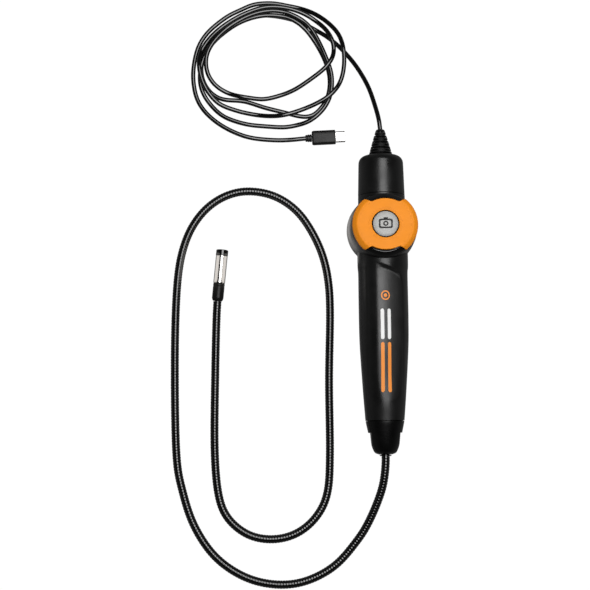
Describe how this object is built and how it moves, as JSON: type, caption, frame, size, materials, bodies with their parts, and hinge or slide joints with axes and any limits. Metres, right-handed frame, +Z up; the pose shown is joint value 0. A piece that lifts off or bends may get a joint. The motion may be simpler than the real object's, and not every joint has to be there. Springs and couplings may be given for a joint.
{
  "type": "inspection camera",
  "caption": "Handheld USB inspection camera: round black handle with an orange dimmer dial and a silver button, a long gooseneck with a steel camera head, and a USB-C cable.",
  "frame": {"origin": "on the surface the handle lies on, under the handle's own axis and 46.2 mm from the dial's axis towards the nose, at mount rest_face", "axes": "+Z up, the way the dial faces; +Y along the handle towards the end cap where the cable leaves; +X to the right when the dial faces the viewer and the cable end is up"},
  "size_m": [0.1774, 0.4281, 0.0451],
  "materials": {
    "handle_black": "soft-touch matte black",
    "satin_black": "satin black",
    "gloss_black": "glossy black",
    "gooseneck_black": "black coated coiled steel",
    "cable_black": "semi-gloss black cable jacket",
    "seal_rubber": "matte",
    "dial_orange": "satin orange",
    "badge_silver": "satin silver under clear resin",
    "polished_steel": "polished",
    "plain_steel": "zinc plated",
    "brass": "turned",
    "board_green": "solder mask",
    "socket_cream": "moulded",
    "lens_glass": "coated glass"
  },
  "bodies": {
    "handle": {"front_shell": "handle_black", "rear_shell": "handle_black", "end_cap": "satin_black", "strain_relief": "satin_black", "nose_cone": "satin_black", "gland_ring": "satin_black", "tube_ferrule": "brass", "ferrule_nut": "brass", "nose_seal": "seal_rubber", "end_cap_seal": "seal_rubber", "hub_seal": "seal_rubber", "main_board": "board_green", "image_processor": "satin_black", "usb_controller": "satin_black", "clock_crystal": "plain_steel", "inductor": "satin_black", "probe_connector": "socket_cream", "cable_connector": "socket_cream", "capacitor_1": "plain_steel", "capacitor_2": "plain_steel", "capacitor_3": "plain_steel", "hub_board": "board_green", "tact_switch": "satin_black", "case_screw_1": "plain_steel", "case_screw_2": "plain_steel", "case_screw_3": "plain_steel", "case_screw_4": "plain_steel", "board_screw_1": "plain_steel", "board_screw_2": "plain_steel", "cable_clamp": "plain_steel", "clamp_screw_1": "plain_steel", "clamp_screw_2": "plain_steel", "button_spring": "plain_steel", "hub_lead": "seal_rubber", "probe_lead": "seal_rubber", "inner_cable": "cable_black", "gooseneck": "gooseneck_black", "head_sleeve": "gloss_black", "camera_barrel": "polished_steel", "front_bezel": "gloss_black", "lens_window": "lens_glass", "light_ring": "socket_cream", "lens_holder": "gloss_black", "sensor_board": "board_green", "head_seal": "seal_rubber", "head_lead": "seal_rubber", "cable_lead": "cable_black", "cable_coil": "cable_black", "cable_tail": "cable_black", "plug_collar": "cable_black", "plug_body": "satin_black", "plug_shell": "polished_steel", "plug_tongue": "gloss_black"},
    "dial": {"dial_cap": "dial_orange", "dial_core": "gloss_black", "dial_retainer": "plain_steel", "dial_wiper": "brass"},
    "button": {"snapshot_button": "gloss_black", "button_badge": "badge_silver"}
  },
  "joints": [
    {"name": "dial_turn", "type": "hinge", "parent": "handle", "child": "dial", "pos_m": [0, 0.0462, 0.041], "axis": [0, 0, -1], "range_deg": [0, 270]},
    {"name": "button_press", "type": "slide", "parent": "handle", "child": "button", "axis": [0, 0, -1], "range_m": [0, 0.0012], "stiffness_N_per_m": 1200, "springref_m": -0.001, "deforming": ["button_spring"]}
  ]
}
